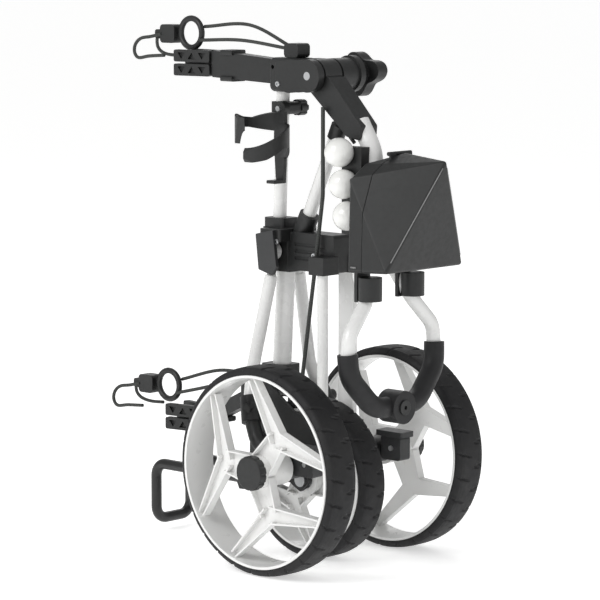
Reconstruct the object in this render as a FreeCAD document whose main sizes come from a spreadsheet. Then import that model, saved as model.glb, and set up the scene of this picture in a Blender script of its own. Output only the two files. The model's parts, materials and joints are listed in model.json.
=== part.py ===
"""Folding three-wheel golf trolley, folded for storage.

Frame: X runs along the wheel axles, Y points to the golf-bag side, Z is up.
The origin is on the floor, at the middle of the folded object's footprint. Millimetres.
The functions measure Y from the rear axle; the last step moves everything to the origin.
"""
import FreeCAD, Part

import math
import os

import Sketcher

from FreeCAD import Placement, Rotation, Vector

DIMENSIONS = [
    ("rear_tyre_radius", 152.0), ("rear_tyre_width", 54.0), ("rear_wheel_centre_x", 139.0),
    ("rear_rim_radius", 140.0), ("front_tyre_radius", 119.0), ("front_tyre_width", 48.0),
    ("front_rim_radius", 105.0), ("front_axle_y", 33.0), ("hub_radius", 24.0),
    ("axle_radius", 6.0), ("bearing_radius", 14.0), ("bearing_width", 8.0),
    ("running_gap", 0.05),
    ("upper_tube_bottom_y", 108.0), ("upper_tube_top_y", 99.0),
    ("upper_tube_bottom", 462.0), ("upper_tube_top", 700.0),
    ("upper_tube_radius", 10.0), ("tube_wall", 1.8),
    ("lower_tube_top_y", 92.0), ("lower_tube_top", 452.0), ("lower_tube_bottom_y", 105.0),
    ("lower_tube_bottom", 236.0), ("lower_tube_across", 12.5), ("lower_tube_along", 15.0),
    ("hinge_y", 22.0), ("hinge_z", 712.0), ("handle_pin_radius", 6.0),
    ("bracket_bottom", 422.0), ("bracket_top", 486.0),
    ("leg_pin_y", 96.0), ("leg_pin_z", 452.0), ("leg_pin_radius", 5.0),
    ("leg_tube_radius", 9.5), ("leg_top_x", 30.0), ("leg_bottom_x", 92.0),
    ("fork_pin_y", 106.0), ("fork_pin_z", 176.0), ("fork_pin_radius", 5.0),
    ("side_plate_x", 38.0), ("side_plate_thickness", 5.0),
    ("grip_radius", 15.0), ("grip_half_width", 94.0), ("handle_y", -114.0),
    ("handle_tube_radius", 14.0), ("cord_radius", 3.0), ("ring_radius", 22.0),
    ("ring_band", 4.5), ("ball_radius", 21.335), ("ball_pitch", 45.0),
    ("console_half_width", 80.0), ("console_back_y", -100.0), ("console_bottom", 440.0),
    ("foot_bar_radius", 8.0), ("foot_half_width", 36.5), ("foot_y", 334.0), ("foot_top", 108.0),
    ("foot_bottom", 20.0),
    ("knob_x", 88.0), ("knob_reach", 36.0), ("cup_pin_z", 662.0), ("cup_bolt_radius", 4.0),
    ("footprint_middle_y", 112.3), ("accessory_hole_radius", 3.0), ("console_edge_radius", 5.0),
]

doc = FreeCAD.newDocument("golf_trolley")
sheet = doc.addObject("Spreadsheet::Sheet", "dims")
for row, (alias, value) in enumerate(DIMENSIONS, start=1):
    sheet.set("A%d" % row, alias)
    sheet.set("B%d" % row, str(value))
    sheet.setAlias("B%d" % row, alias)
doc.recompute()

PARTS = []
X_AXIS = Vector(1, 0, 0)
Y_AXIS = Vector(0, 1, 0)
Z_AXIS = Vector(0, 0, 1)


def size(alias):
    return float(getattr(sheet, alias))


def keep(label, shape):
    """A finished sub-part made from a shape."""
    item = doc.addObject("Part::Feature", label)
    item.Label = label
    item.Shape = shape.removeSplitter()
    item.Placement = Placement()
    PARTS.append(item)
    return item


def rod(start, end, radius):
    start, end = Vector(*start), Vector(*end)
    return Part.makeCylinder(radius, (end - start).Length, start, end - start)


def block(low, high):
    low, high = Vector(*low), Vector(*high)
    span = high - low
    return Part.makeBox(span.x, span.y, span.z, low)


def rounded(shape, radius, axis=None):
    """Fillets the straight edges that run along axis, or every edge."""
    edges = shape.Edges
    if axis is not None:
        edges = [e for e in edges if isinstance(e.Curve, Part.Line)
                 and abs(e.tangentAt(e.FirstParameter).dot(axis)) > 0.999]
    return shape.makeFillet(radius, edges)


def fused(shapes):
    return shapes[0].multiFuse(shapes[1:]).removeSplitter()


def path_wire(points, bend):
    """A wire through the points, with an arc of the bend radius at each inner point."""
    points = [Vector(*p) for p in points]
    edges, here = [], points[0]
    for before, corner, after in zip(points, points[1:], points[2:]):
        back = (before - corner).normalize()
        ahead = (after - corner).normalize()
        half = math.acos(max(-1.0, min(1.0, back.dot(ahead)))) / 2
        reach = min(bend / math.tan(half), 0.48 * (before - corner).Length,
                    0.48 * (after - corner).Length)
        start, end = corner + back * reach, corner + ahead * reach
        radius = reach * math.tan(half)
        inward = (back + ahead).normalize()
        middle = corner + inward * (radius / math.sin(half) - radius)
        edges.append(Part.makeLine(here, start))
        edges.append(Part.Arc(start, middle, end).toShape())
        here = end
    edges.append(Part.makeLine(here, points[-1]))
    return Part.Wire(edges)


def bent_rod(points, radius, bend):
    wire = path_wire(points, bend)
    start = wire.Vertexes[0].Point
    direction = Vector(*points[1]) - Vector(*points[0])
    profile = Part.Wire(Part.makeCircle(radius, start, direction))
    return wire.makePipeShell([profile], True, False)


def plate_yz(outline, x_low, x_high):
    """A flat plate with an outline in the YZ plane."""
    points = [Vector(x_low, y, z) for y, z in outline]
    face = Part.Face(Part.makePolygon(points + points[:1]))
    return face.extrude(Vector(x_high - x_low, 0, 0))


def sketch_on(body, plane_role, name):
    sketch = body.newObject("Sketcher::SketchObject", name)
    plane = [o for o in body.Origin.OriginFeatures if o.Role == plane_role][0]
    sketch.AttachmentSupport = [(plane, "")]
    sketch.MapMode = "FlatFace"
    return sketch


def closed_profile(sketch, points):
    for (x1, y1), (x2, y2) in zip(points, points[1:] + points[:1]):
        sketch.addGeometry(Part.LineSegment(Vector(x1, y1, 0), Vector(x2, y2, 0)), False)
    count = len(points)
    for i in range(count):
        sketch.addConstraint(Sketcher.Constraint("Coincident", i, 2, (i + 1) % count, 1))


def revolved_body(label, profile, place):
    """A PartDesign body turned about its own X axis from a profile of (x, radius) points."""
    body = doc.addObject("PartDesign::Body", label)
    body.Label = label
    sketch = sketch_on(body, "XY_Plane", label + "_profile")
    closed_profile(sketch, profile)
    turn = body.newObject("PartDesign::Revolution", label + "_turn")
    turn.Profile = sketch
    turn.ReferenceAxis = (sketch, ["H_Axis"])
    turn.Angle = 360.0
    body.Placement = place
    PARTS.append(body)
    return body


def bound_cylinder(label, radius_cell, length, place):
    """A plain turned piece with its radius bound to the sheet."""
    item = doc.addObject("Part::Cylinder", label)
    item.Label = label
    item.setExpression("Radius", "dims." + radius_cell)
    item.Height = length
    item.Placement = place
    PARTS.append(item)
    return item


def along_x(x, y, z):
    """Placement that lays a cylinder along +X from a point."""
    return Placement(Vector(x, y, z), Rotation(Y_AXIS, 90))


# ---------------------------------------------------------------- wheels

def tyre_profile(radius, inner, width):
    half, crown, step = width / 2, 3.0, 8.0
    return [(-half, inner), (-half, radius - step), (-half + crown, radius - crown),
            (-half + step, radius), (half - step, radius), (half - crown, radius - crown),
            (half, radius - step), (half, inner)]


def rim_shape(rim, width, arms_at, hub_length, arm_half_angle):
    """A moulded rim about the X axis: barrel, Y-shaped channel arms and hub."""
    wall, lip, half = 4.0, 2.0, width / 2
    outer = Part.makeCylinder(rim, width, Vector(-half, 0, 0), X_AXIS)
    inner = Part.makeCylinder(rim - wall, width, Vector(-half, 0, 0), X_AXIS)
    lip_x = -half - lip
    lip_ring = Part.makeCylinder(rim, lip, Vector(lip_x, 0, 0), X_AXIS).cut(
        Part.makeCylinder(rim - wall, lip, Vector(lip_x, 0, 0), X_AXIS))
    pieces = [outer.cut(inner), lip_ring]
    hub = size("hub_radius")
    hub_x = -half - lip + 2
    pieces.append(Part.makeCylinder(hub, hub_length, Vector(hub_x, 0, 0), X_AXIS))
    node = 0.46 * rim
    for turn in (0, 120, 240):
        angle = math.radians(arms_at + turn)
        joint = polar(node, angle)
        pieces.append(channel(polar(hub * 0.6, angle), joint, hub_x + 3, 44.0, 33.0))
        for side in (-1, 1):
            tip = polar(rim - 1.4 * wall, angle + side * math.radians(arm_half_angle))
            pieces.append(channel(joint, tip, hub_x + 3, 27.0, 12.0))
    body = fused(pieces)
    bore = Part.makeCylinder(size("bearing_radius"), hub_length + 40, Vector(-half - 20, 0, 0), X_AXIS)
    return body.cut(bore)


def polar(radius, angle):
    return Vector(0, radius * math.cos(angle), radius * math.sin(angle))


def channel(start, end, front_x, width_start, width_end):
    """A tapered arm with a web and two raised edge rails, lying in the wheel plane."""
    web, rail, proud = 5.0, 2.6, 9.0
    run = (end - start).normalize()
    side = X_AXIS.cross(run)

    def slab(inset, x_low, x_high):
        corners = [start + side * (width_start / 2 - inset), end + side * (width_end / 2 - inset),
                   end - side * (width_end / 2 - inset), start - side * (width_start / 2 - inset)]
        corners = [Vector(x_low, c.y, c.z) for c in corners]
        face = Part.Face(Part.makePolygon(corners + corners[:1]))
        return face.extrude(Vector(x_high - x_low, 0, 0))

    return slab(0, front_x, front_x + proud + web).cut(slab(rail, front_x, front_x + proud))


def build_rear_wheel(side, mirror):
    """Tyre, rim, bearings and cap of one rear wheel; the outer face looks along -X before mirroring."""
    width, radius = size("rear_tyre_width"), size("rear_tyre_radius")
    rim, centre = size("rear_rim_radius"), size("rear_wheel_centre_x")
    x = centre * mirror
    place = Placement(Vector(x, 0, radius), Rotation())
    revolved_body(side + "_rear_tyre", tyre_profile(radius, rim, width), place)
    shape = rim_shape(rim, width, 8.0, width + 2, 42.0)
    if mirror > 0:
        shape = shape.mirror(Vector(0, 0, 0), X_AXIS)
    shape.translate(Vector(x, 0, radius))
    keep(side + "_rear_rim", shape)
    build_bearings(side + "_rear_bearings", [x - 18, x + 10], radius, 0.0)
    cap = hub_cap()
    if mirror > 0:
        cap = cap.mirror(Vector(0, 0, 0), X_AXIS)
    cap.translate(Vector(x + mirror * (width / 2 + 0.5), 0, radius))
    keep(side + "_hub_cap", cap)


def build_bearings(label, starts, height, y):
    outer, inner = size("bearing_radius"), size("axle_radius") + size("running_gap")
    rings = []
    for start in starts:
        ring = Part.makeCylinder(outer, size("bearing_width"), Vector(start, y, height), X_AXIS)
        rings.append(ring.cut(Part.makeCylinder(inner, 20, Vector(start - 5, y, height), X_AXIS)))
    keep(label, Part.makeCompound(rings))


def hub_cap():
    """A toothed push cap about the X axis, proud of the wheel on its -X side."""
    radius, depth, teeth = 25.0, 12.0, 12
    cap = Part.makeCylinder(radius, depth, Vector(-depth, 0, 0), X_AXIS)
    cap = cap.makeChamfer(2.0, [e for e in cap.Edges if e.BoundBox.XMax < -depth + 0.01])
    for i in range(teeth):
        spot = polar(radius + 1.2, 2 * math.pi * i / teeth)
        cap = cap.cut(Part.makeCylinder(2.6, depth, Vector(-depth, spot.y, spot.z), X_AXIS))
    return cap


def build_front_wheel():
    radius, rim, width = size("front_tyre_radius"), size("front_rim_radius"), size("front_tyre_width")
    y = size("front_axle_y")
    place = Placement(Vector(0, y, radius), Rotation())
    revolved_body("front_tyre", tyre_profile(radius, rim, width), place)
    shape = rim_shape(rim, width, 68.0, width + 2, 42.0)
    shape.translate(Vector(0, y, radius))
    keep("front_rim", shape)
    build_bearings("front_bearings", [-18, 10], radius, y)


# ---------------------------------------------------------------- rear legs

def build_leg(side, mirror):
    """Leg tube, its pivot eye, the knuckle with the axle, and the brake housing of one side."""
    pin_y, pin_z = size("leg_pin_y"), size("leg_pin_z")
    top_x, low_x, radius = size("leg_top_x"), size("leg_bottom_x"), size("leg_tube_radius")
    eye_x = 21.0
    eye = rod((mirror * eye_x, pin_y, pin_z), (mirror * (eye_x + 12), pin_y, pin_z), 13)
    stem = rod((mirror * (eye_x + 6), pin_y, pin_z), (mirror * top_x, pin_y, 400), 7)
    pin_hole = rod((mirror * 15, pin_y, pin_z), (mirror * 60, pin_y, pin_z),
                   size("leg_pin_radius") + size("running_gap"))
    route = [(mirror * top_x, pin_y, 416), (mirror * 62, 104, 277), (mirror * 76, 96, 232)]
    tube = bent_rod(route, radius, 60)
    tube = fused([tube, eye, stem]).cut(pin_hole)
    keep(side + "_leg_tube", tube)
    build_knuckle(side, mirror, tube)
    axle_from = mirror * (low_x + 6)
    axle_to = mirror * (size("rear_wheel_centre_x") + size("rear_tyre_width") / 2 - 1)
    start = min(axle_from, axle_to)
    bound_cylinder(side + "_rear_axle", "axle_radius", abs(axle_to - axle_from),
                   along_x(start, 0, size("rear_tyre_radius")))
    build_brake(side, mirror)


def build_knuckle(side, mirror, tube):
    """The black moulding from the tube's end down to the axle."""
    height, low_x = size("rear_tyre_radius"), size("leg_bottom_x")
    sleeve = rod((mirror * 73.5, 97.5, 240), (mirror * 84, 84, 205), 15)
    boss = rod((mirror * 70, 86, 226), (mirror * 94, 86, 226), 8)
    shank = bent_rod([(mirror * 82, 87, 212), (mirror * 90, 66, 176), (mirror * low_x, 0, height)], 11, 40)
    hub = rod((mirror * (low_x - 12), 0, height), (mirror * 109, 0, height), 19)
    lower = plate_yz([(0, height - 12), (60, 104), (72, 118), (60, 168), (0, height + 12)],
                     mirror * (low_x - 5) if mirror > 0 else mirror * (low_x + 3),
                     mirror * (low_x + 3) if mirror > 0 else mirror * (low_x - 5))
    knuckle = fused([sleeve, boss, shank, hub, lower])
    knuckle = knuckle.cut(tube)
    axle_hole = rod((mirror * (low_x + 6), 0, height), (mirror * 130, 0, height), size("axle_radius"))
    knuckle = knuckle.cut(axle_hole)
    keep(side + "_leg_knuckle", max(knuckle.Solids, key=lambda s: s.Volume))


def build_brake(side, mirror):
    """Brake housing in front of the hub, with its plate and its sliding pin."""
    height = size("rear_tyre_radius")
    x_in, x_out = sorted((mirror * 84, mirror * 106))
    housing = rounded(block((x_in, -58, height - 10), (x_out, -20, height + 26)), 5, X_AXIS)
    pin_hole = rod((mirror * 80, -40, height + 8), (mirror * 110, -40, height + 8), 4.05)
    link = block((x_in + 4, -24, height - 6), (x_out - 4, -14, height + 6))
    plate = rounded(block((x_in - 6, -66, height + 26), (x_out, -14, height + 34)), 3, Z_AXIS)
    keep(side + "_brake_housing", fused([housing, link, plate]).cut(pin_hole).cut(
        rod((mirror * 60, 0, height), (mirror * 120, 0, height), 19)))
    pin = rod((mirror * 82, -40, height + 8), (mirror * 105, -40, height + 8), 4.0)
    keep(side + "_brake_pin", pin)


# ---------------------------------------------------------------- main frame

def oval_prism(low, high, across, along):
    """An oval bar between two points of the middle plane, given as (y, z)."""
    start, end = Vector(0, *low), Vector(0, *high)
    ring = Part.Ellipse(Vector(0, 0, 0), along, across)
    face = Part.Face(Part.Wire(ring.toShape()))
    bar = face.extrude(Vector(0, 0, (end - start).Length))
    turn = Rotation(Z_AXIS, 90)
    bar.Placement = Placement(start, Rotation(Z_AXIS, end - start).multiply(turn))
    return bar


def upper_tube_y(z):
    """Y of the upper tube's axis at a height."""
    low, high = size("upper_tube_bottom"), size("upper_tube_top")
    start, end = size("upper_tube_bottom_y"), size("upper_tube_top_y")
    return start + (end - start) * (z - low) / (high - low)


def upper_tube_rod(radius, low, high):
    return rod((0, upper_tube_y(low), low), (0, upper_tube_y(high), high), radius)


def upper_tube_core():
    return upper_tube_rod(size("upper_tube_radius"), size("upper_tube_bottom"), size("upper_tube_top"))


def lower_tube_core():
    ends = ((size("lower_tube_top_y"), size("lower_tube_top")),
            (size("lower_tube_bottom_y"), size("lower_tube_bottom")))
    return oval_prism(ends[1], ends[0], size("lower_tube_across"), size("lower_tube_along"))


def build_main_tubes():
    wall = size("tube_wall")
    inner = upper_tube_rod(size("upper_tube_radius") - wall, 0, 800)
    keep("upper_main_tube", upper_tube_core().cut(inner))
    ends = ((size("lower_tube_top_y"), size("lower_tube_top")),
            (size("lower_tube_bottom_y"), size("lower_tube_bottom")))
    hollow = oval_prism(ends[1], ends[0], size("lower_tube_across") - wall,
                        size("lower_tube_along") - wall)
    keep("lower_main_tube", lower_tube_core().cut(hollow))


def build_hinge_block():
    """The top casting: tube socket, body and the left and right ears of the handle hinge."""
    y, z = size("hinge_y"), size("hinge_z")
    body = rounded(block((-18, 48, 686), (18, 112, 736)), 9, X_AXIS)
    body = rounded(body, 5, Y_AXIS)
    ears = [rod((x1, y, z), (x2, y, z), 24) for x1, x2 in ((-33, -21), (21, 66))]
    collar = rod((56, y, z), (66, y, z), 27)
    webs = [plate_yz([(y, z - 22), (60, z - 26), (84, z - 20), (84, z + 18), (58, z + 23), (y, z + 22)],
                     *ends) for ends in ((-33, -17.9), (17.9, 33))]
    ears.append(collar)
    shape = fused([body] + ears + webs)
    shape = shape.cut(rod((-40, y, z), (80, y, z), size("handle_pin_radius")))
    shape = shape.cut(upper_tube_core())
    shape = shape.cut(rod((-30, 104, 722), (30, 104, 722), size("accessory_hole_radius")))
    keep("top_hinge_block", shape)
    bound_cylinder("handle_pin", "handle_pin_radius", size("knob_x") + 33 - 2, along_x(-33, y, z))


def build_clamp_knob():
    """The three-lobed clamp knob on the +X end of the handle pin."""
    y, z, x = size("hinge_y"), size("hinge_z"), size("knob_x")
    reach = size("knob_reach")
    neck = rod((67, y, z), (x, y, z), 17)
    mean, swing, lean = 0.79 * reach, 0.21 * reach, math.radians(50)
    points = []
    for i in range(48):
        angle = 2 * math.pi * i / 48
        spot = polar(mean + swing * math.cos(3 * (angle - lean)), angle)
        points.append(Vector(x - 5, y + spot.y, z + spot.z))
    curve = Part.BSplineCurve()
    curve.interpolate(points, PeriodicFlag=True)
    star = Part.Face(Part.Wire(curve.toShape())).extrude(Vector(20, 0, 0))
    dish = Part.makeCone(7, 15, 9, Vector(x + 7, y, z), X_AXIS)
    knob = fused([neck, star]).cut(dish)
    keep("clamp_knob", knob.cut(rod((50, y, z), (x - 2, y, z),
                                    size("handle_pin_radius") + size("running_gap"))))


def build_mid_bracket():
    """The black bracket that joins the main tube, the struts, the leg pivots and the braces."""
    low, high = size("bracket_bottom"), size("bracket_top")
    front = rounded(block((-19, 70, low), (19, 126, high)), 6, Z_AXIS)
    cheek = rounded(block((-17, 84, high - 6), (17, 124, high + 14)), 5, Z_AXIS)
    arm = rounded(block((-18, -18, low + 4), (18, 76, high - 4)), 5, X_AXIS)
    foot_l = block((-47, -24, low + 4), (-14, 5, low + 30))
    foot_r = block((14, -20, low + 4), (44, 20, low + 30))
    socket = rod((0, 62, 478), (0, 46, 508), 15)
    shelf = rounded(block((-40.6, 68, high - 18), (40.6, 110, high)), 4, Z_AXIS)
    bracket = fused([front, cheek, arm, foot_l, foot_r, socket, shelf])
    bracket = bracket.cut(upper_tube_core()).cut(lower_tube_core())
    bracket = bracket.cut(strut_core())
    pin_y, pin_z = size("leg_pin_y"), size("leg_pin_z")
    bracket = bracket.cut(rod((-60, pin_y, pin_z), (60, pin_y, pin_z), size("leg_pin_radius")))
    for core in brace_cores():
        bracket = bracket.cut(core)
    for k in range(3):
        slot = block((-20, 0, low + 20 + 10 * k), (-16, 60, low + 25 + 10 * k))
        bracket = bracket.cut(slot)
    keep("mid_bracket", max(bracket.Solids, key=lambda s: s.Volume))
    cover = rounded(plate_yz([(70, low + 10), (79, low - 3), (106, low + 4), (112, high - 8), (78, high)],
                             -46.5, -40.7), 2, X_AXIS)
    return cover


def build_leg_pins():
    """One pin on each side, from the bracket through the leg eye, with a head."""
    y, z, radius = size("leg_pin_y"), size("leg_pin_z"), size("leg_pin_radius")
    pins = []
    for mirror in (-1, 1):
        shank = rod((mirror * 2, y, z), (mirror * 39, y, z), radius)
        head = rod((mirror * 36, y, z), (mirror * 40, y, z), 9)
        pins += fused([shank, head]).cut(lower_tube_core()).Solids
    keep("leg_pins", Part.makeCompound(pins))


def strut_core():
    return rod((0, 60, 480), (0, -11, 636), 10)


def build_upper_strut():
    outer = strut_core()
    inner = rod((0, 60, 480), (0, -11, 636), 8.4)
    keep("upper_strut", outer.cut(inner))
    top = Vector(0, -11, 636)
    run = (Vector(0, -11, 636) - Vector(0, 60, 480)).normalize()
    cap = Part.makeCylinder(12.5, 22, top - run * 16, run)
    keep("strut_end_cap", cap.cut(strut_core()))


def brace_cores():
    return [rod((-35, -12, 196), (-35, -12, 446), 8),
            brace_bar_core()]


def brace_bar_core():
    bar = block((27, -16, 196), (37, 16, 446))
    return rounded(bar, 4, Z_AXIS)


def build_braces():
    keep("left_brace_tube", brace_cores()[0])
    keep("right_brace_bar", brace_bar_core())


def build_base_frame():
    """The black base: a socket for the main tube and two side plates around the front wheel."""
    x, thick = size("side_plate_x"), size("side_plate_thickness")
    y, z = size("fork_pin_y"), size("fork_pin_z")
    socket = rounded(block((-20, 82, 244), (20, 128, 282)), 6, Z_AXIS)
    bridge = block((-x - thick, 88, 244), (x + thick, 126, 256))
    outline = [(-22, 206), (-22, 182), (10, 168), (84, 96), (150, 92), (160, 112),
               (128, 150), (126, 256), (88, 256), (40, 222)]
    plates = [plate_yz(outline, x, x + thick), plate_yz(outline, -x - thick, -x)]
    cross = block((-x, 134, 224), (x, 144, 256))
    link = block((-x - thick, 120, 224), (-x, 146, 256)), block((x, 120, 224), (x + thick, 146, 256))
    base = fused([socket, bridge, cross] + list(link) + plates)
    base = base.cut(lower_tube_core()).cut(foot_loop_core())
    base = base.cut(rod((-60, y, z), (60, y, z), size("fork_pin_radius")))
    for core in brace_cores():
        base = base.cut(core)
    keep("base_frame", max(base.Solids, key=lambda s: s.Volume))


def foot_loop_core():
    """The bent rod that the bag's bottom stands on."""
    x, y, z = size("foot_half_width"), size("foot_y"), size("foot_top")
    low = size("foot_bottom")
    start = 141.0
    route = [(-x, start, z), (-x, y, z), (-x, y, low), (x, y, low), (x, y, z), (x, start, z)]
    return bent_rod(route, size("foot_bar_radius"), 20)


# ---------------------------------------------------------------- bag brackets

def build_bag_bracket(level, arm_start, arm_end, arm_z, end_z):
    """One bag bracket: the arm with its cord guides, and two dimpled pads beside its tip."""
    half = 11.0
    low, high = arm_z
    end_low, end_high = end_z
    arm = plate_yz([(arm_start, low), (arm_end, end_low), (arm_end, end_high), (arm_start, high)],
                   -half, half)
    arm = rounded(arm, 4, X_AXIS)
    mid = (end_low + end_high) / 2
    tip = block((-5, arm_end - 2, mid - 15), (5, arm_end + 62, mid + 15))
    back = (arm_end - 34 - arm_start) / (arm_end - arm_start)
    centre = (low + high) / 2 * (1 - back) + mid * back
    edge = (high - low) / 2 * (1 - back) + (end_high - end_low) / 2 * back
    guides = [block((-15, arm_end - 46, centre + m * edge - 4), (15, arm_end - 22, centre + m * edge + 4))
              for m in (-1, 1)]
    keep(level + "_bag_arm", fused([arm, tip] + [rounded(g, 3, Y_AXIS) for g in guides]))
    pads = []
    for mirror in (-1, 1):
        for row in (-1, 1):
            pads.append(bag_pad(mirror, arm_end + 35.5, mid + row * 10.5))
    return mid, pads


def bag_pad(mirror, y, z):
    """One row of a bag pad, leaning out from the arm's tip, with three pockets in its face."""
    length, thick, tall = 66.0, 9.0, 18.0
    pad = Part.makeBox(thick, length, tall, Vector(0, -length / 2, -tall / 2))
    pad = rounded(pad, 3, X_AXIS)
    for i in (-1, 0, 1):
        low_y, point = i * 19 - 7, 5 if i % 2 == 0 else -5
        corners = [Vector(thick - 4, low_y, -point), Vector(thick - 4, low_y + 14, -point),
                   Vector(thick - 4, low_y + 7, point)]
        pocket = Part.Face(Part.makePolygon(corners + corners[:1])).extrude(Vector(6, 0, 0))
        pad = pad.cut(pocket)
    if mirror < 0:
        pad = pad.mirror(Vector(0, 0, 0), X_AXIS)
    pad.rotate(Vector(0, 0, 0), Z_AXIS, -mirror * 9)
    pad.translate(Vector(mirror * 10.6, y, z))
    return pad


def build_cords(tip_y, mid, anchor_y, anchor_z):
    """Elastic cord with a hook block, a pull ring and an anchor."""
    radius, ring, band = size("cord_radius"), size("ring_radius"), size("ring_band")
    ring_y = tip_y - 114
    lift = mid + 44
    ring_shape = Part.makeTorus(ring, band, Vector(0, ring_y, lift), X_AXIS)
    hook = rounded(block((-10, ring_y + 27.5, lift - 16), (10, ring_y + 58, lift + 12)), 6, X_AXIS)
    bill = rounded(block((-7, ring_y + 56, lift - 10), (7, ring_y + 72, lift + 4)), 4, X_AXIS)
    hook = fused([hook, bill])
    cord_ends = []
    for x in (-6, 6):
        cord_ends.append(bent_rod([(x, anchor_y + 1.5, anchor_z), (x, (anchor_y + ring_y) / 2, lift + 4),
                                   (x, ring_y - ring - band - 5, lift)], radius, 60))
    stop = rod((-10, ring_y - ring - band - 5, lift), (10, ring_y - ring - band - 5, lift), 4.2)
    loops = []
    for mirror in (-1, 1):
        loops.append(bent_rod([(mirror * 14, ring_y + 62, lift - 3), (mirror * 20, ring_y + 94, lift - 7),
                               (mirror * 26, ring_y + 94, lift - 35),
                               (mirror * 24, ring_y + 42, lift - 33)], radius, 12))
    return ring_shape, hook, Part.makeCompound([fused(cord_ends + [stop])] + loops)


def build_cord_anchor():
    upper = rounded(block((-13, 58, 736.2), (13, 86, 757)), 6, X_AXIS)
    lower = rounded(block((-14, 146, 250.2), (14, 164, 264)), 4, X_AXIS)
    keep("cord_anchors", Part.makeCompound([upper, lower]))


# ---------------------------------------------------------------- handle

def build_handle():
    """Leg casting, white tube frame, grip, boss cap and brake button."""
    y, z = size("hinge_y"), size("hinge_z")
    barrel = rod((-17.5, y, z), (17.5, y, z), 24)
    leg = plate_yz([(y + 18, z - 14), (y + 8, z + 10), (y - 30, z - 2), (-70, 643), (-68, 622), (-42, 627)],
                   -17.5, 17.5)
    leg = rounded(leg, 5, X_AXIS)
    leg = fused([barrel, leg])
    pin_hole = rod((-30, y, z), (30, y, z), size("handle_pin_radius") + size("running_gap"))
    tube = handle_tubes()
    keep("handle_leg", max(leg.cut(pin_hole).cut(tube).Solids, key=lambda s: s.Volume))
    keep("handle_frame", tube)
    build_grip(tube)


def handle_tubes():
    radius, y, half = size("handle_tube_radius"), size("handle_y"), size("grip_half_width")
    inner_y = size("console_back_y") + radius + 1.5
    spine = bent_rod([(0, -52, 648), (0, -76, 610), (0, inner_y, 560), (0, inner_y, 480)], radius, 60)
    pieces = [spine]
    for mirror in (-1, 1):
        pieces.append(bent_rod([(0, inner_y, 505), (mirror * 38, inner_y, 436), (mirror * 46, y + 6, 398),
                                (mirror * (half - 4), y, 352), (mirror * half, y, 316)],
                               radius - 3.5, 34))
    return fused(pieces)


def build_grip(tube):
    radius, y, half = size("grip_radius"), size("handle_y"), size("grip_half_width")
    route = [(-half, y, 326), (-half + 2, y - 2, 292), (-46, y - 8, 243), (46, y - 8, 243),
             (half - 2, y - 2, 292), (half, y, 326)]
    grip = bent_rod(route, radius, 46)
    boss = rod((0, y - 26, 242), (0, y + 10, 242), 24)
    boss = boss.makeChamfer(2, [boss.Edges[0]])
    grip = fused([grip, boss])
    button_hole = rod((0, y - 30, 242), (0, y - 14, 242), 11)
    grip = grip.cut(button_hole).cut(tube)
    keep("handle_grip", max(grip.Solids, key=lambda s: s.Volume))
    button = rod((0, y - 28, 242), (0, y - 18, 242), 10.9)
    socket = rod((0, y - 29, 242), (0, y - 24, 242), 3)
    keep("brake_button", button.cut(socket))


def console_points(inset):
    """Corner points of the console: a flat back, a three-cornered lid face and a ridge on top."""
    half, back, low = size("console_half_width"), size("console_back_y"), size("console_bottom")
    i = inset
    return [
        (-half + i, back - i, low + i), (half - i, back - i, low + i),
        (-half + 4 + i, back - i, 574 - i), (half - 4 - i, back - i, 574 - i),
        (-half - 3 + i, -176 + i, low + 4 + i), (half + 3 - i, -176 + i, low + 4 + i),
        (0, -216 + 1.6 * i, 600 - 1.6 * i), (0, -140 - i, 608 - 1.4 * i),
        (-48, back - i, 592 - i), (48, back - i, 592 - i)]


def console_solid(inset):
    """The convex body through the console's corner points."""
    points = [Vector(*p) for p in console_points(inset)]
    centre = Vector(0, 0, 0)
    for p in points:
        centre = centre + p * (1.0 / len(points))
    faces = []
    count = len(points)
    for a in range(count):
        for b in range(a + 1, count):
            for c in range(b + 1, count):
                normal = (points[b] - points[a]).cross(points[c] - points[a])
                if normal.Length < 1e-6:
                    continue
                normal.normalize()
                if normal.dot(centre - points[a]) > 0:
                    normal = normal * -1
                heights = [normal.dot(p - points[a]) for p in points]
                if max(heights) < 1e-6:
                    flat = [p for p, h in zip(points, heights) if h > -1e-6]
                    key = tuple(sorted((round(p.x, 3), round(p.y, 3), round(p.z, 3)) for p in flat))
                    if key not in [f[0] for f in faces]:
                        faces.append((key, flat, normal))
    sides = []
    for _, flat, normal in faces:
        middle = Vector(0, 0, 0)
        for p in flat:
            middle = middle + p * (1.0 / len(flat))
        first = (flat[0] - middle).normalize()
        second = normal.cross(first)
        flat.sort(key=lambda p: math.atan2((p - middle).dot(second), (p - middle).dot(first)))
        sides.append(Part.Face(Part.makePolygon(flat + flat[:1])))
    solid = Part.Solid(Part.Shell(sides))
    if solid.Volume < 0:
        solid.reverse()
    return solid


def soft_edges(shape, radius, least_angle):
    """Rounds the edges whose two faces meet at more than least_angle degrees."""
    sharp = []
    for edge in shape.Edges:
        faces = [f for f in shape.Faces if any(e.isSame(edge) for e in f.Edges)]
        first, second = [f.normalAt(0.5, 0.5) for f in faces]
        if math.degrees(first.getAngle(second)) > least_angle:
            sharp.append(edge)
    soft = shape.makeFillet(radius, sharp)
    soft.fix(0.01, 0.01, 0.01)
    return soft.Solids[0]


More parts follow.
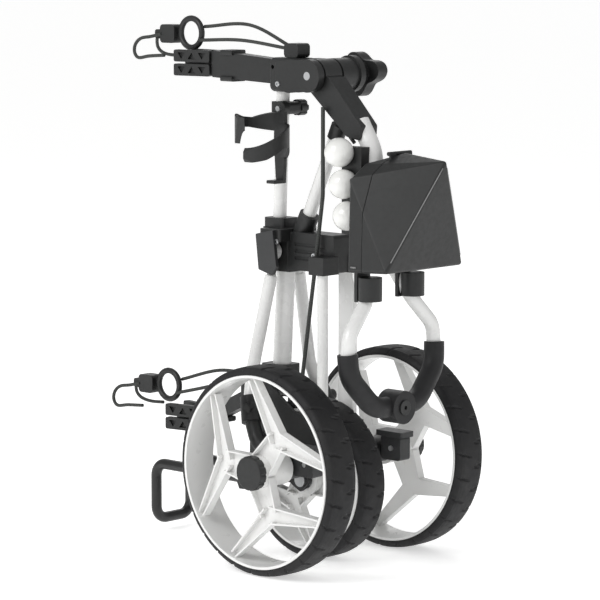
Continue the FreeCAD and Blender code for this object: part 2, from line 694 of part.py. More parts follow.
def build_console():
    """Storage console in two shells, with the lid hinged along its top back edge."""
    outer, inner = console_solid(0), console_solid(3)
    outer = soft_edges(outer, size("console_edge_radius"), 20)
    shell = outer.cut(inner)
    split, hinge_z, hinge_radius = -128.0, 607.0, 3.0
    rear = block((-120, split + 0.4, 400), (120, -60, 660))
    front = block((-120, -260, 400), (120, split - 0.4, 660))
    knuckle = rod((-10, split, hinge_z), (10, split, hinge_z), hinge_radius)
    outer_knuckles = [rod((m * 10.4, split, hinge_z), (m * 24, split, hinge_z), hinge_radius)
                      for m in (-1, 1)]
    tray_relief = [rod((m * 10, split, hinge_z), (m * 24.4, split, hinge_z), hinge_radius + 0.4)
                   for m in (-1, 1)]
    lid_relief = rod((-10.4, split, hinge_z), (10.4, split, hinge_z), hinge_radius + 0.4)
    tray, lid = shell.common(rear), shell.common(front)
    for relief in tray_relief:
        tray = tray.cut(relief)
    leaf_low, leaf_high = hinge_z - 12, hinge_z - 0.5
    tray_leaf = block((-9.5, split + 0.6, leaf_low), (9.5, split + 4, leaf_high))
    lid_leaves = [block((min(m * 11, m * 23), split - 4, leaf_low),
                        (max(m * 11, m * 23), split - 0.6, leaf_high)) for m in (-1, 1)]
    keep("console_tray", fused([tray, tray_leaf, knuckle]))
    keep("console_lid", fused([lid.cut(lid_relief)] + lid_leaves + outer_knuckles))
    clamp_y = size("console_back_y")
    sides = [block((min(m * 30, m * 58), clamp_y + 0.3, 396), (max(m * 30, m * 58), clamp_y + 6, 470))
             for m in (-1, 1)]
    bar = block((-58, clamp_y + 0.3, 452), (58, clamp_y + 6, 470))
    strap = [rod((m * 46, size("handle_y"), 398), (m * 46, size("handle_y"), 432), 17) for m in (-1, 1)]
    mount = fused(sides + [bar] + strap)
    mount = mount.cut(handle_tubes()).cut(console_solid(0))
    keep("console_clamp", mount if len(mount.Solids) == 1 else Part.makeCompound(mount.Solids))


def ball_centres():
    pitch = size("ball_pitch")
    return [(-42, -50 - 8 * k, 606 - pitch * k) for k in range(3)]


def build_ball_holder():
    """Three golf balls pressed into a black holder beside the handle tube."""
    radius = size("ball_radius")
    balls = [Part.makeSphere(radius, Vector(*c)) for c in ball_centres()]
    spine = block((-30, -82, 488), (-12.5, -44, 614))
    for centre in ball_centres():
        spine = spine.cut(Part.makeSphere(radius + 0.4, Vector(*centre)))
    rings = []
    for x, y, z in ball_centres():
        ring = Part.makeCylinder(radius + 3, 8, Vector(x - 2, y, z), X_AXIS)
        rings.append(ring.cut(Part.makeSphere(radius + 0.4, Vector(x, y, z))))
    holder = fused([spine] + rings).cut(handle_tubes())
    keep("ball_holder", max(holder.Solids, key=lambda s: s.Volume))
    keep("golf_balls", Part.makeCompound(balls))


# ---------------------------------------------------------------- cup holder

def build_cup_holder():
    """Drink holder that tilts on a bolt through a clip on the main tube."""
    z, radius = size("cup_pin_z"), size("cup_bolt_radius")
    tube_y = upper_tube_y(z)
    y = tube_y - 15.5
    clip = rounded(block((-12.2, tube_y - 14, z - 9), (12.2, tube_y + 14, z + 9)), 5, Z_AXIS)
    lug = rounded(block((-12, y - 10, z - 9), (12, tube_y, z + 9)), 6, X_AXIS)
    clip = fused([clip, lug]).cut(upper_tube_core())
    keep("cup_holder_clip", clip.cut(rod((-20, y, z), (20, y, z), radius)))
    keep("cup_holder_bolt", rod((-28, y, z), (19, y, z), radius))
    holder = cup_holder_shape(y, z)
    keep("cup_holder", holder.cut(rod((-40, y, z), (0, y, z), radius + size("running_gap"))))
    knob = rod((13, y, z), (27, y, z), 12)
    for i in range(6):
        spot = polar(13.5, math.radians(60 * i + 30))
        knob = knob.cut(rod((12, y + spot.y, z + spot.z), (28, y + spot.y, z + spot.z), 3.2))
    keep("cup_holder_knob", knob.cut(rod((12, y, z), (19.2, y, z), radius + size("running_gap"))))


def plate_xz(outline, y_low, y_high):
    """A flat plate with its outline in X and Z, between two values of Y."""
    points = [Vector(x, y_low, z) for x, z in outline]
    return Part.Face(Part.makePolygon(points + points[:1])).extrude(Vector(0, y_high - y_low, 0))


def cup_holder_shape(y, z):
    """Eye, spine with a toe, a hooked arm behind the cup and a broad sloping blade before it."""
    inner, wall = 36.0, 4.0
    inside = -24.0
    eye = rod((-24, y, z), (-12.4, y, z), 11)
    spine = plate_yz([(y - 10, z), (y + 10, z), (y + 11, z - 50), (y + 7, z - 106), (y - 8, z - 106),
                      (y - 12, z - 40)], inside, -18)
    toe = rounded(block((inside - 20, y - 8, z - 109), (-18, y + 7, z - 104)), 2, Y_AXIS)
    ring = Part.makeCylinder(inner + wall, 100, Vector(inside - inner, y, z - 90))
    ring = ring.cut(Part.makeCylinder(inner, 100, Vector(inside - inner, y, z - 90)))
    blade = plate_xz([(-18, z - 20), (-46, z - 26), (-76, z - 42), (-97, z - 54), (-103, z - 64),
                      (-97, z - 74), (-84, z - 70), (-60, z - 56), (-36, z - 54), (-18, z - 78)], y - 45, y)
    arm = plate_xz([(-18, z - 4), (-44, z - 13), (-62, z - 11), (-80, z - 6), (-98, z - 10), (-94, z - 48),
                    (-80, z - 48), (-76, z - 26), (-50, z - 27), (-18, z - 34)], y, y + 45)
    return fused([eye, spine, toe, ring.common(blade), ring.common(arm)])


# ---------------------------------------------------------------- front fork

def build_front_fork():
    """Fork with two blades, pinned to the base frame, and the front axle."""
    y, z = size("fork_pin_y"), size("fork_pin_z")
    axle_y, axle_z = size("front_axle_y"), size("front_tyre_radius")
    x, thick = 28.0, 6.0
    blades = []
    for mirror in (-1, 1):
        x_low, x_high = sorted((mirror * x, mirror * (x + thick)))
        blade = plate_yz([(y + 13, z + 4), (y - 4, z + 13), (axle_y - 6, axle_z + 20),
                          (axle_y - 18, axle_z), (axle_y, axle_z - 18), (axle_y + 16, axle_z - 10),
                          (y + 10, z - 11)], x_low, x_high)
        blades.append(rounded(blade, 4, X_AXIS).cut(
            rod((-60, y, z), (60, y, z), size("fork_pin_radius") + size("running_gap"))).cut(
            rod((-60, axle_y, axle_z), (60, axle_y, axle_z), size("axle_radius"))))
    keep("fork_blades", Part.makeCompound(blades))
    pins = []
    for mirror in (-1, 1):
        shank = rod((mirror * 27, y, z), (mirror * 45, y, z), size("fork_pin_radius"))
        head = rod((mirror * 43.0, y, z), (mirror * 47, y, z), 8)
        pins.append(fused([shank, head]))
    keep("fork_pins", Part.makeCompound(pins))
    bound_cylinder("front_axle", "axle_radius", 68, along_x(-34, axle_y, axle_z))
    nuts = [rod((mirror * 34, axle_y, axle_z), (mirror * 36.5, axle_y, axle_z), 10) for mirror in (-1, 1)]
    keep("front_axle_nuts", Part.makeCompound(nuts))


def build_cable():
    """Brake cable beside the frame, from the handle hinge down to the base."""
    route = [(-24, -2, 668), (-24, -2, 540), (-25, 15, 417), (-25, 38, 268)]
    keep("brake_cable", bent_rod(route, 3.0, 60))


def build_all():
    for side, mirror in (("left", -1), ("right", 1)):
        build_rear_wheel(side, mirror)
        build_leg(side, mirror)
    build_front_wheel()
    build_front_fork()
    build_main_tubes()
    build_hinge_block()
    build_clamp_knob()
    cover = build_mid_bracket()
    keep("bracket_cover", cover)
    build_leg_pins()
    build_upper_strut()
    build_braces()
    build_base_frame()
    keep("bag_foot_loop", foot_loop_core())
    upper_mid, upper_pads = build_bag_bracket("upper", 112.2, 237, (697, 733), (702, 742))
    lower_mid, lower_pads = build_bag_bracket("lower", 144.2, 259, (224, 248), (168, 192))
    keep("bag_pads", Part.makeCompound(upper_pads + lower_pads))
    upper = build_cords(404, upper_mid, 86, 747)
    lower = build_cords(456, lower_mid, 164, 257)
    for label, pair in zip(("pull_rings", "cord_hooks", "bag_cords"), zip(upper, lower)):
        keep(label, Part.makeCompound(list(pair)))
    build_cord_anchor()
    build_handle()
    build_console()
    build_ball_holder()
    build_cup_holder()
    build_cable()


build_all()
doc.recompute()

to_middle = Placement(Vector(0, -size("footprint_middle_y"), 0), Rotation())
for item in PARTS:
    item.Placement = to_middle.multiply(item.Placement)
doc.recompute()

problems = []
for item in doc.Objects:
    if "Invalid" in item.State or "Error" in item.State:
        problems.append(item.Name)
for item in PARTS:
    if item.Shape.isNull() or not item.Shape.isValid() or not item.Shape.Solids:
        problems.append(item.Label)
if problems:
    raise RuntimeError("bad sub-parts: " + ", ".join(problems))

os.makedirs("parts", exist_ok=True)
for item in PARTS:
    item.Shape.exportStep("parts/%s.step" % item.Label)
print("sub-parts:", len(PARTS), "rear axle at y", to_middle.Base.y)
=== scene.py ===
"""Looks, cords, tread, light and camera for the folded golf trolley. Metres, Z up."""

import json
import math

import bmesh
import bpy

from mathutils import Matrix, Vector


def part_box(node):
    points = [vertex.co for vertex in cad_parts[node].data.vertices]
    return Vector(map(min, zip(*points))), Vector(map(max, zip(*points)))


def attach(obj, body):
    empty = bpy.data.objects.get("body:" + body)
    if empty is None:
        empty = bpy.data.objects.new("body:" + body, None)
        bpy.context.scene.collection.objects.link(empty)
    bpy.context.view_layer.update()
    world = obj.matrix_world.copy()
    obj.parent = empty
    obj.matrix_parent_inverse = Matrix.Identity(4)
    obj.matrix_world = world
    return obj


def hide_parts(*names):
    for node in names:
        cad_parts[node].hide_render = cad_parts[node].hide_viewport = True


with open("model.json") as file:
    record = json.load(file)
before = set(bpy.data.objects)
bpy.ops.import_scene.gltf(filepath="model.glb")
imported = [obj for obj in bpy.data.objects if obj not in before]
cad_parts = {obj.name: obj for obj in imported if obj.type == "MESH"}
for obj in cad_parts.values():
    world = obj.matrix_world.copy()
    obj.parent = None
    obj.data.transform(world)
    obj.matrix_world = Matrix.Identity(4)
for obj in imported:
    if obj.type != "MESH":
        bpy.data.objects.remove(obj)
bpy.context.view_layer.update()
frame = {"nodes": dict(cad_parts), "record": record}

# camera of a product photograph: far away, slightly above the object
CAMERA_POINT = (-3.2367, -3.0781, 0.9472)
CAMERA_TARGET = (-0.0703, -0.1123, 0.3919)
LENS_MM = 182.0
SENSOR_MM = 36.0


# ---------------------------------------------------------------- materials

class Nodes:
    """Short calls for building one material's node tree."""

    def __init__(self, name):
        self.material = bpy.data.materials.new(name)
        self.material.use_nodes = True
        self.tree = self.material.node_tree
        self.shader = self.tree.nodes["Principled BSDF"]

    def add(self, kind, **values):
        node = self.tree.nodes.new(kind)
        for key, value in values.items():
            if hasattr(node, key):
                setattr(node, key, value)
            else:
                node.inputs[key.replace("_", " ")].default_value = value
        return node

    def link(self, output, target):
        self.tree.links.new(output, target)

    def noise(self, scale, detail=3.0, rough=0.55):
        coord = self.add("ShaderNodeTexCoord")
        noise = self.add("ShaderNodeTexNoise", Scale=scale, Detail=detail, Roughness=rough)
        self.link(coord.outputs["Object"], noise.inputs["Vector"])
        return noise.outputs["Fac"]

    def mapped(self, value, low, high, from_low=0.3, from_high=0.7):
        ramp = self.add("ShaderNodeMapRange")
        ramp.inputs["From Min"].default_value = from_low
        ramp.inputs["From Max"].default_value = from_high
        ramp.inputs["To Min"].default_value = low
        ramp.inputs["To Max"].default_value = high
        self.link(value, ramp.inputs["Value"])
        return ramp.outputs["Result"]

    def mixed(self, factor, first, second):
        mix = self.add("ShaderNodeMix", data_type="RGBA")
        self.link(factor, mix.inputs["Factor"])
        for socket, colour in ((mix.inputs["A"], first), (mix.inputs["B"], second)):
            if isinstance(colour, tuple):
                socket.default_value = (*colour, 1.0)
            else:
                self.link(colour, socket)
        return mix.outputs["Result"]

    def bump(self, height, strength, distance, radius=0.0):
        bump = self.add("ShaderNodeBump", Strength=strength, Distance=distance)
        self.link(height, bump.inputs["Height"])
        if radius:
            bevel = self.add("ShaderNodeBevel", samples=4, Radius=radius)
            self.link(bevel.outputs["Normal"], bump.inputs["Normal"])
        self.link(bump.outputs["Normal"], self.shader.inputs["Normal"])

    def edge_wear(self, radius):
        """About 1 on sharp outer edges, 0 on flat faces."""
        bevel = self.add("ShaderNodeBevel", samples=4, Radius=radius)
        geometry = self.add("ShaderNodeNewGeometry")
        dot = self.add("ShaderNodeVectorMath", operation="DOT_PRODUCT")
        self.link(bevel.outputs["Normal"], dot.inputs[0])
        self.link(geometry.outputs["Normal"], dot.inputs[1])
        return self.mapped(dot.outputs["Value"], 1.0, 0.0, 0.75, 0.97)


def paint(name, colour, shade, rough):
    """Gloss powder coat: faint orange peel, slight tone change, softly rounded edge shading."""
    n = Nodes(name)
    tone = n.mapped(n.noise(9.0), 0.0, 1.0)
    n.link(n.mixed(tone, colour, shade), n.shader.inputs["Base Color"])
    n.link(n.mapped(n.noise(60.0, 5.0), rough - 0.05, rough + 0.09), n.shader.inputs["Roughness"])
    n.shader.inputs["Coat Weight"].default_value = 0.35
    n.shader.inputs["Coat Roughness"].default_value = 0.12
    n.bump(n.noise(900.0, 2.0), 0.06, 0.0004, 0.0012)
    return n.material


def plastic(name, colour, worn, rough, grain):
    """Moulded plastic: fine spark-eroded grain, blotches, lighter worn edges."""
    n = Nodes(name)
    tone = n.mapped(n.noise(22.0, 4.0), 0.0, 0.35)
    base = n.mixed(tone, colour, worn)
    edges = n.mixed(n.edge_wear(0.0012), base, worn)
    n.link(edges, n.shader.inputs["Base Color"])
    n.link(n.mapped(n.noise(140.0, 5.0), rough - 0.06, rough + 0.08), n.shader.inputs["Roughness"])
    n.bump(n.noise(grain, 3.0), 0.16, 0.0003, 0.0011)
    return n.material


def rubber(name, colour, dust, rough):
    """Tyre rubber: matte, with dusty patches and a fine skin texture."""
    n = Nodes(name)
    patches = n.mapped(n.noise(14.0, 6.0, 0.65), 0.0, 0.55, 0.42, 0.72)
    n.link(n.mixed(patches, colour, dust), n.shader.inputs["Base Color"])
    n.link(n.mapped(n.noise(90.0, 4.0), rough - 0.07, rough + 0.08), n.shader.inputs["Roughness"])
    n.shader.inputs["Specular IOR Level"].default_value = 0.35
    n.bump(n.noise(1500.0, 4.0), 0.3, 0.0004, 0.001)
    return n.material


def metal(name, colour, rough):
    """Turned steel: stretched brush lines."""
    n = Nodes(name)
    coord = n.add("ShaderNodeTexCoord")
    stretch = n.add("ShaderNodeMapping")
    stretch.inputs["Scale"].default_value = (1500.0, 60.0, 60.0)
    noise = n.add("ShaderNodeTexNoise", Scale=1.0, Detail=3.0)
    n.link(coord.outputs["Object"], stretch.inputs["Vector"])
    n.link(stretch.outputs["Vector"], noise.inputs["Vector"])
    n.shader.inputs["Metallic"].default_value = 1.0
    shade = tuple(c * 0.8 for c in colour)
    n.link(n.mixed(noise.outputs["Fac"], colour, shade), n.shader.inputs["Base Color"])
    n.link(n.mapped(noise.outputs["Fac"], rough - 0.06, rough + 0.1), n.shader.inputs["Roughness"])
    n.bump(noise.outputs["Fac"], 0.12, 0.0002)
    return n.material


def braided(name, colour, light):
    """Woven sheath of elastic cord: crossed diagonal ribs."""
    n = Nodes(name)
    coord = n.add("ShaderNodeTexCoord")
    waves = []
    for turn in (0.8, -0.8):
        place = n.add("ShaderNodeMapping")
        place.inputs["Rotation"].default_value = (turn, turn, 0.0)
        wave = n.add("ShaderNodeTexWave", Scale=180.0, Distortion=0.6)
        n.link(coord.outputs["Object"], place.inputs["Vector"])
        n.link(place.outputs["Vector"], wave.inputs["Vector"])
        waves.append(wave.outputs["Fac"])
    both = n.add("ShaderNodeMath", operation="MAXIMUM")
    n.link(waves[0], both.inputs[0])
    n.link(waves[1], both.inputs[1])
    n.link(n.mixed(both.outputs["Value"], colour, light), n.shader.inputs["Base Color"])
    n.shader.inputs["Roughness"].default_value = 0.7
    n.bump(both.outputs["Value"], 0.5, 0.0005)
    return n.material


def golf_ball(name):
    """White ball cover with close-set round dimples."""
    n = Nodes(name)
    coord = n.add("ShaderNodeTexCoord")
    cells = n.add("ShaderNodeTexVoronoi", Scale=265.0, Randomness=0.25)
    n.link(coord.outputs["Object"], cells.inputs["Vector"])
    dimple = n.mapped(cells.outputs["Distance"], 0.0, 1.0, 0.12, 0.42)
    n.link(n.mixed(n.mapped(n.noise(40.0), 0.0, 0.4), (0.86, 0.86, 0.84), (0.78, 0.78, 0.75)),
           n.shader.inputs["Base Color"])
    n.shader.inputs["Roughness"].default_value = 0.22
    n.shader.inputs["Coat Weight"].default_value = 0.5
    n.bump(dimple, 0.35, 0.0005)
    return n.material


MATERIALS = {
    "white_paint": paint("white_powder_coat", (0.82, 0.82, 0.81), (0.78, 0.78, 0.77), 0.24),
    "white_plastic": paint("white_moulding", (0.84, 0.84, 0.83), (0.80, 0.80, 0.79), 0.30),
    "black_plastic": plastic("black_moulding", (0.010, 0.0105, 0.0105), (0.020, 0.021, 0.021), 0.46, 2600.0),
    "grey_plastic": plastic("dark_grey_moulding", (0.024, 0.025, 0.026), (0.044, 0.045, 0.047), 0.44, 2400.0),
    "black_paint": plastic("black_coated_rod", (0.008, 0.008, 0.008), (0.022, 0.022, 0.022), 0.36, 1500.0),
    "tyre_rubber": rubber("tyre_rubber", (0.010, 0.010, 0.011), (0.022, 0.021, 0.021), 0.62),
    "grip_rubber": rubber("grip_rubber", (0.013, 0.013, 0.014), (0.021, 0.021, 0.022), 0.50),
    "steel": metal("turned_steel", (0.60, 0.61, 0.62), 0.34),
    "cord_black": braided("cord_sheath", (0.018, 0.020, 0.018), (0.045, 0.048, 0.045)),
    "ball_white": golf_ball("ball_cover"),
    # pale grey: the tray latches' own colour, and also the colour of the painted highlight line on the lid's
    # edges
    "trim_grey_and_highlight": plastic("pale_grey_trim_and_painted_highlight", (0.20, 0.20, 0.20), (0.27, 0.27, 0.27), 0.40, 1800.0),
}


def dress_cad_nodes():
    """Gives each CAD node its material by its slot in the record."""
    for part in frame["record"]["subparts"]:
        node = frame["nodes"][part["node"]]
        node.data.materials.clear()
        node.data.materials.append(MATERIALS[part["material_slot"]])


# ---------------------------------------------------------------- shared mesh helpers

def mesh_piece(name, bm, slot, body, smooth=True, look=None):
    """Turns a bmesh into an object with its slot's material, or another look, riding on a body."""
    mesh = bpy.data.meshes.new(name)
    bmesh.ops.recalc_face_normals(bm, faces=bm.faces)
    bm.to_mesh(mesh)
    bm.free()
    piece = bpy.data.objects.new(name, mesh)
    bpy.context.scene.collection.objects.link(piece)
    mesh.materials.append(MATERIALS[look or slot])
    for face in mesh.polygons:
        face.use_smooth = smooth
    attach(piece, body)
    return piece


def smooth_path(points, steps):
    """Catmull-Rom points through a list of points."""
    points = [Vector(p) for p in points]
    ends = [points[0] * 2 - points[1]] + points + [points[-1] * 2 - points[-2]]
    path = []
    for a, b, c, d in zip(ends, ends[1:], ends[2:], ends[3:]):
        for i in range(steps):
            t = i / steps
            path.append(0.5 * ((2 * b) + (c - a) * t + (2 * a - 5 * b + 4 * c - d) * t * t
                               + (3 * b - a - 3 * c + d) * t ** 3))
    path.append(points[-1])
    return path


def sweep(bm, path, radius, sides=12):
    """A round rod along a path, closed at both ends."""
    rings = []
    up = Vector((1, 0, 0))
    for i, point in enumerate(path):
        ahead = path[min(i + 1, len(path) - 1)] - path[max(i - 1, 0)]
        ahead.normalize()
        first = (up - ahead * up.dot(ahead))
        if first.length < 1e-4:
            first = Vector((0, 1, 0)) - ahead * ahead.y
        first.normalize()
        up = first
        second = ahead.cross(first)
        ring = []
        for k in range(sides):
            angle = 2 * math.pi * k / sides
            ring.append(bm.verts.new(point + (first * math.cos(angle) + second * math.sin(angle)) * radius))
        rings.append(ring)
    for one, two in zip(rings, rings[1:]):
        for k in range(sides):
            bm.faces.new((one[k], one[(k + 1) % sides], two[(k + 1) % sides], two[k]))
    bm.faces.new(list(reversed(rings[0])))
    bm.faces.new(rings[-1])


# ---------------------------------------------------------------- tyres

REAR_RIM_RADIUS = 0.140
FRONT_RIM_RADIUS = 0.105
REAR_LUGS = 26
FRONT_LUGS = 22
STEPS_PER_LUG = 12
TREAD_EDGE_DROP = 0.0065
TREAD_MIDDLE = 0.1
GROOVE_DEPTH = 0.0024
GROOVE_SHARE = 0.085
GROOVE_SKEW = 0.30

# half the tread's outline, from the side wall to the middle: share of the half width, drop below the radius
TREAD_OUTLINE = ((1.00, 0.0085), (0.965, 0.0060), (0.91, 0.0034), (0.82, 0.0014), (0.62, 0.0004),
                 (0.32, 0.0), (0.05, 0.0))


def build_tyre(node, body, inner_radius, lugs):
    """A tyre with rounded shoulders and grooves between its tread blocks, in place of the plain one."""
    low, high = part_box(node)
    centre = (low + high) / 2
    radius = (high.z - low.z) / 2
    half = (high.x - low.x) / 2
    left = [(-1.00, inner_radius)] + [(-across, radius - drop) for across, drop in TREAD_OUTLINE]
    profile = left + [(-across, r) for across, r in reversed(left)]
    bm = bmesh.new()
    steps = lugs * STEPS_PER_LUG
    rings = []
    for i in range(steps):
        place = (i / steps) * lugs
        ring = []
        for across, r in profile:
            ring.append(bm.verts.new(tyre_point(centre, across, r, half, place, lugs, radius)))
        rings.append(ring)
    count = len(profile)
    for i in range(steps):
        one, two = rings[i], rings[(i + 1) % steps]
        for k in range(count):
            bm.faces.new((one[k], one[(k + 1) % count], two[(k + 1) % count], two[k]))
    tyre = mesh_piece(node + "_tread", bm, "tyre_rubber", body, smooth=False)
    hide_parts(node)


def tyre_point(centre, across, r, half, place, lugs, radius):
    """One point of the tyre: narrow skewed grooves part the tread blocks on each side."""
    skew = GROOVE_SKEW * abs(across)
    shift = 0.5 if across > 0 else 0.0
    phase = (place + skew + shift) % 1.0
    on_tread = r > radius - TREAD_EDGE_DROP and abs(across) > TREAD_MIDDLE
    drop = GROOVE_DEPTH if on_tread and phase < GROOVE_SHARE else 0.0
    angle = 2 * math.pi * place / lugs
    reach = r - drop
    return Vector((centre.x + across * half, centre.y + reach * math.cos(angle),
                   centre.z + reach * math.sin(angle)))


# ---------------------------------------------------------------- cords

CORD_RADIUS = 0.0026
CORD_GAP = 0.006
RING_SIZE = 0.053


def build_cords():
    """Elastic cords of both bag brackets: to the pull rings, and the free loops past the hooks."""
    rings_low, rings_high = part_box("pull_rings")
    upper_ring = Vector((0, rings_low.y + RING_SIZE / 2, rings_high.z - RING_SIZE / 2))
    lower_ring = Vector((0, rings_high.y - RING_SIZE / 2, rings_low.z + RING_SIZE / 2))
    anchors_low, anchors_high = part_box("cord_anchors")
    starts = (Vector((0, anchors_low.y + 0.026, anchors_high.z - 0.008)),
              Vector((0, anchors_high.y, anchors_low.z + 0.007)))
    bm = bmesh.new()
    for ring, start, rise in zip((upper_ring, lower_ring), starts, (0.012, 0.004)):
        for side in (-1, 1):
            x = side * CORD_GAP
            near = Vector((x, ring.y - RING_SIZE * 0.42, ring.z + side * 0.010))
            middle = (near + start) / 2 + Vector((x, 0, rise + side * CORD_GAP))
            sweep(bm, smooth_path([start + Vector((x, 0, 0)), middle, near], 14), CORD_RADIUS)
        cord_loops(bm, ring)
    cords = mesh_piece("bag_cords_woven", bm, "cord_black", "frame")
    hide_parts("bag_cords")


def cord_loops(bm, ring):
    """Two free loops of cord that hang out past the hook, one on each side of the bracket."""
    for side in (-1, 1):
        lean = CORD_GAP if side < 0 else 0.0
        points = [(side * 0.009, 0.056, -0.003), (side * 0.014, 0.074, -0.001 - lean),
                  (side * 0.019, 0.090, -0.004 - lean), (side * 0.023, 0.098, -0.013 - lean),
                  (side * 0.025, 0.098, -0.025 - lean), (side * 0.026, 0.088, -0.033 - lean),
                  (side * 0.025, 0.066, -0.036), (side * 0.022, 0.036, -0.034)]
        sweep(bm, smooth_path([ring + Vector(p) for p in points], 10), CORD_RADIUS)


# ---------------------------------------------------------------- painted lid highlight, trim and screws

# thickness and number of steps of the painted highlight line along the lid's edges
HIGHLIGHT_LINE_RADIUS = 0.0008
HIGHLIGHT_LINE_STEPS = 16
LID_TIP_HEIGHT = 0.598
LID_CORNER_HEIGHT = 0.446
LID_CORNER_INSET = 0.040
LATCH_RADIUS = 0.0013
LATCH_HALF_LENGTH = 0.0048
RAIL_RADIUS = 0.0028
RAIL_STEPS = 16
NOTCH_RADIUS = 0.0044
NOTCH_HALF_LENGTH = 0.22
SCREW_RADIUS = 0.0042
SCREW_HEIGHT = 0.0022
SCREW_SIDES = 24
PROBE_REACH = 0.5


def build_lid_highlight_and_latches():
    """Painted highlight: a pale line along the two slanting edges of the lid. Also a thumb latch on each side
    of the tray.
    """
    low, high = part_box("console_lid")
    tip = Vector((0, low.y, LID_TIP_HEIGHT))
    bm = bmesh.new()
    for side in (-1, 1):
        corner = Vector((side * high.x, low.y + LID_CORNER_INSET, LID_CORNER_HEIGHT))
        shares = [0.05 + 0.86 * k / HIGHLIGHT_LINE_STEPS for k in range(HIGHLIGHT_LINE_STEPS + 1)]
        path = [on_surface("console_lid", tip.lerp(corner, share)) for share in shares]
        sweep(bm, path, HIGHLIGHT_LINE_RADIUS, 8)
    # the pale line is a painted highlight on the lid's slanting edges, not a real part
    mesh_piece("lid_edge_painted_highlight", bm, "grey_plastic", "console_lid", look="trim_grey_and_highlight")
    tray_low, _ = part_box("console_tray")
    bm = bmesh.new()
    for side in (-1, 1):
        place = Vector((side * (abs(tray_low.x) - 0.0002), tray_low.y + 0.018, tray_low.z + 0.0085))
        along = Vector((0, LATCH_HALF_LENGTH, 0))
        sweep(bm, [place - along, place, place + along], LATCH_RADIUS, 10)
    mesh_piece("tray_latches", bm, "grey_plastic", "handle", look="trim_grey_and_highlight")


def on_surface(node, point):
    """The nearest place on a CAD node's surface."""
    piece = frame["nodes"][node]
    _, place, _, _ = piece.closest_point_on_mesh(piece.matrix_world.inverted() @ point)
    return piece.matrix_world @ place


def build_leg_rail():
    """Thin rail below the handle leg, from the hinge block to the golf balls, with a row of notches."""
    low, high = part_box("handle_leg")
    start = Vector((0, high.y - 0.014, low.z + 0.068))
    end = Vector((0, low.y + 0.028, low.z - 0.006))
    step = (end - start) / RAIL_STEPS
    bm = bmesh.new()
    sweep(bm, [start + step * k for k in range(RAIL_STEPS + 1)], RAIL_RADIUS, 8)
    for k in range(4, 14):
        place = start + step * k
        reach = step * NOTCH_HALF_LENGTH
        sweep(bm, [place - reach, place, place + reach], NOTCH_RADIUS, 8)
    mesh_piece("handle_leg_rail", bm, "black_plastic", "handle")


def screw(bm, centre, side):
    """A pan-head screw with a hexagonal recess, facing along X on one side."""
    axis = Vector((side, 0, 0))
    first = Vector((0, 0, 1))
    second = axis.cross(first)

    def ring(reach, lift, sides):
        points = []
        for k in range(SCREW_SIDES):
            turn = 2 * math.pi * k / SCREW_SIDES
            if sides:
                sector = math.pi / sides
                flat = math.cos(sector) / math.cos((turn % (2 * sector)) - sector)
            else:
                flat = 1.0
            spot = first * math.cos(turn) + second * math.sin(turn)
            points.append(bm.verts.new(centre + spot * reach * flat + axis * lift))
        return points

    rings = [ring(SCREW_RADIUS, -0.001, 0), ring(SCREW_RADIUS, SCREW_HEIGHT * 0.55, 0),
             ring(SCREW_RADIUS * 0.82, SCREW_HEIGHT, 0), ring(SCREW_RADIUS * 0.5, SCREW_HEIGHT, 6),
             ring(SCREW_RADIUS * 0.46, SCREW_HEIGHT * 0.2, 6)]
    for one, two in zip(rings, rings[1:]):
        for k in range(SCREW_SIDES):
            bm.faces.new((one[k], one[(k + 1) % SCREW_SIDES], two[(k + 1) % SCREW_SIDES], two[k]))
    bm.faces.new(rings[-1])
    bm.faces.new(list(reversed(rings[0])))


def build_screws():
    """Pan-head screws on the left and right faces of the brackets, hinge block and base frame."""
    rows = [("mid_bracket", "frame", ((0.30, 0.30), (0.30, 0.72), (0.66, 0.5))),
            ("top_hinge_block", "frame", ((0.72, 0.25),)),
            ("base_frame", "frame", ((0.30, 0.86),)),
            ("console_clamp", "handle", ((0.5, 0.75),))]
    for node, body, spots in rows:
        low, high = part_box(node)
        bm = bmesh.new()
        for along, up in spots:
            for side in (-1, 1):
                place = surface_point(node, low.y + (high.y - low.y) * along,
                                      low.z + (high.z - low.z) * up, side)
                if place is not None:
                    screw(bm, place, side)
        if bm.verts:
            mesh_piece(node + "_screws", bm, "steel", body, smooth=False)
        else:
            bm.free()


def surface_point(node, y, z, side):
    """Where a line along X meets the node's outer face on one side, or None."""
    piece = frame["nodes"][node]
    inverse = piece.matrix_world.inverted()
    start = inverse @ Vector((side * PROBE_REACH, y, z))
    aim = (inverse.to_3x3() @ Vector((-side, 0, 0))).normalized()
    hit, place, normal, _ = piece.ray_cast(start, aim)
    if not hit or abs(normal.dot(aim)) < 0.9:
        return None
    return piece.matrix_world @ place


# ---------------------------------------------------------------- stage

FLOOR_SIZE = 300
FLOOR_GLOW = 0.53
AMBIENT_STRENGTH = 0.48
LIGHT_TARGET = (0, 0, 0.4)

# name, place, side of the square light, power in watts
LIGHTS = (("key", (-3.4, 0.4, 2.8), 1.8, 78.0),
          ("fill", (0.6, -3.8, 1.8), 2.6, 11.0),
          ("rim", (2.4, 2.6, 2.6), 2.0, 22.0))


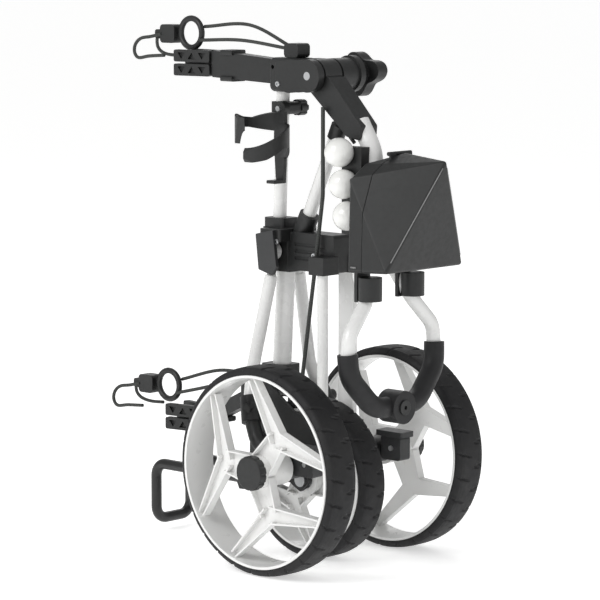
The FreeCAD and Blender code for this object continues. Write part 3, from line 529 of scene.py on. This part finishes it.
def build_stage():
    """Pale floor, even ambient light, a white backdrop that only the camera sees, and three soft lights."""
    bpy.ops.mesh.primitive_plane_add(size=FLOOR_SIZE, location=(0, 0, 0))
    floor = bpy.context.object
    floor.name = "studio_floor"
    n = Nodes("studio_floor")
    n.link(n.mixed(n.noise(0.6), (0.955, 0.96, 0.955), (0.965, 0.965, 0.96)), n.shader.inputs["Base Color"])
    n.shader.inputs["Roughness"].default_value = 0.8
    n.shader.inputs["Emission Color"].default_value = (1.0, 1.0, 1.0, 1.0)
    n.shader.inputs["Emission Strength"].default_value = FLOOR_GLOW
    floor.data.materials.append(n.material)
    world = bpy.data.worlds.new("studio")
    bpy.context.scene.world = world
    world.use_nodes = True
    tree = world.node_tree
    ambient = tree.nodes["Background"]
    ambient.inputs["Strength"].default_value = AMBIENT_STRENGTH
    backdrop = tree.nodes.new("ShaderNodeBackground")
    for shade in (ambient, backdrop):
        shade.inputs["Color"].default_value = (0.985, 0.985, 0.985, 1)
    ray = tree.nodes.new("ShaderNodeLightPath")
    mix = tree.nodes.new("ShaderNodeMixShader")
    tree.links.new(ray.outputs["Is Camera Ray"], mix.inputs["Fac"])
    tree.links.new(ambient.outputs["Background"], mix.inputs[1])
    tree.links.new(backdrop.outputs["Background"], mix.inputs[2])
    tree.links.new(mix.outputs["Shader"], tree.nodes["World Output"].inputs["Surface"])
    for name, place, size, power in LIGHTS:
        area_light(name, place, size, power)


def area_light(name, place, size, power):
    """A square light that faces the middle of the object."""
    data = bpy.data.lights.new(name, "AREA")
    data.size = size
    data.energy = power
    light = bpy.data.objects.new(name, data)
    light.location = place
    aim = Vector(LIGHT_TARGET) - Vector(place)
    light.rotation_euler = aim.to_track_quat("-Z", "Y").to_euler()
    bpy.context.scene.collection.objects.link(light)


def build_camera():
    """The photograph's view, with plain colour handling so that whites stay white."""
    data = bpy.data.cameras.new("camera")
    data.lens = LENS_MM
    data.sensor_width = SENSOR_MM
    camera = bpy.data.objects.new("camera", data)
    camera.location = CAMERA_POINT
    aim = Vector(CAMERA_TARGET) - Vector(CAMERA_POINT)
    camera.rotation_euler = aim.to_track_quat("-Z", "Y").to_euler()
    bpy.context.scene.collection.objects.link(camera)
    bpy.context.scene.camera = camera
    bpy.context.scene.view_settings.view_transform = "Standard"


dress_cad_nodes()
build_tyre("left_rear_tyre", "left_wheel", REAR_RIM_RADIUS, REAR_LUGS)
build_tyre("right_rear_tyre", "right_wheel", REAR_RIM_RADIUS, REAR_LUGS)
build_tyre("front_tyre", "front_wheel", FRONT_RIM_RADIUS, FRONT_LUGS)
build_cords()
build_lid_highlight_and_latches()
build_leg_rail()
build_screws()
build_stage()
build_camera()
